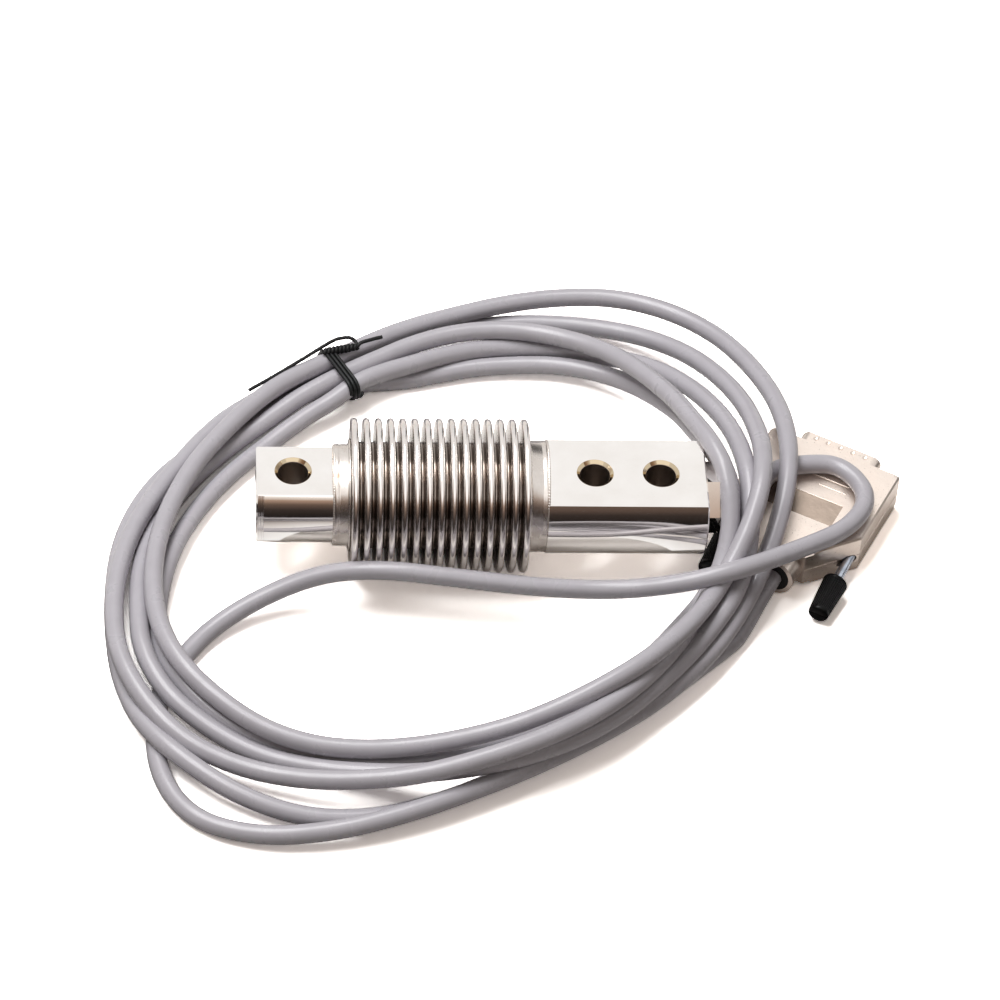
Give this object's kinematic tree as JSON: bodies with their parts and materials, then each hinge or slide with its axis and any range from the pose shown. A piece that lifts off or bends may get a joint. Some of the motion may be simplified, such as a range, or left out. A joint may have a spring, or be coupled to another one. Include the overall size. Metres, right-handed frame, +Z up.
{
  "type": "bending beam load cell",
  "caption": "Bellows-sealed bending beam load cell with a load hole, mounting holes, a coiled tied cable and a D-shaped plug with thumbscrews.",
  "frame": {"origin": "under the middle of the beam, on the floor that the bellows rests on", "axes": "+X along the beam from the load end to the mounting end, +Z up along the load hole"},
  "size_m": [0.2211, 0.1976, 0.042],
  "materials": {
    "steel": "polished stainless steel",
    "bellows_steel": "bright rolled stainless steel",
    "nickel": "nickel plate, slightly warm",
    "zinc": "bluish zinc plate",
    "gold": "gold flash",
    "cable": "matte grey jacket",
    "black_plastic": "matte",
    "black_rubber": "matte",
    "black_wire": "plastic over a wire core",
    "gauge": "amber carrier film",
    "board": "glass-fibre board",
    "core": "insulated cores"
  },
  "bodies": {
    "cell": {"beam": "steel", "bellows": "bellows_steel", "strain_gauge_1": "gauge", "strain_gauge_2": "gauge", "strain_gauge_3": "gauge", "strain_gauge_4": "gauge", "terminal_board": "board", "core_wires": "core", "gland_body": "steel", "gland_nut": "steel", "gland_seal": "black_rubber", "hood_upper": "nickel", "hood_lower": "nickel", "hood_screws": "zinc", "clamp_strap": "zinc", "clamp_screws": "zinc", "plug_front_shell": "nickel", "plug_rear_shell": "nickel", "plug_insulator": "black_plastic", "plug_contacts": "gold", "plug_wires": "core", "cable_bush": "black_rubber", "cable_lead": "cable", "cable_coil": "cable", "cable_tail": "cable", "cable_tie": "black_wire"},
    "thumbscrew_left": {"thumbscrew_shaft_left": "zinc", "thumbscrew_knob_left": "black_plastic"},
    "thumbscrew_right": {"thumbscrew_shaft_right": "zinc", "thumbscrew_knob_right": "black_plastic"}
  },
  "joints": [
    {"name": "thumbscrew_left_spin", "type": "hinge", "parent": "cell", "child": "thumbscrew_left", "pos_m": [0.06869, -0.00001, 0.00462], "axis": [0.4613, 0.8861, 0.0453], "continuous": true},
    {"name": "thumbscrew_right_spin", "type": "hinge", "parent": "cell", "child": "thumbscrew_right", "pos_m": [0.09783, -0.01617, 0.00462], "axis": [0.4613, 0.8861, 0.0453], "continuous": true}
  ]
}
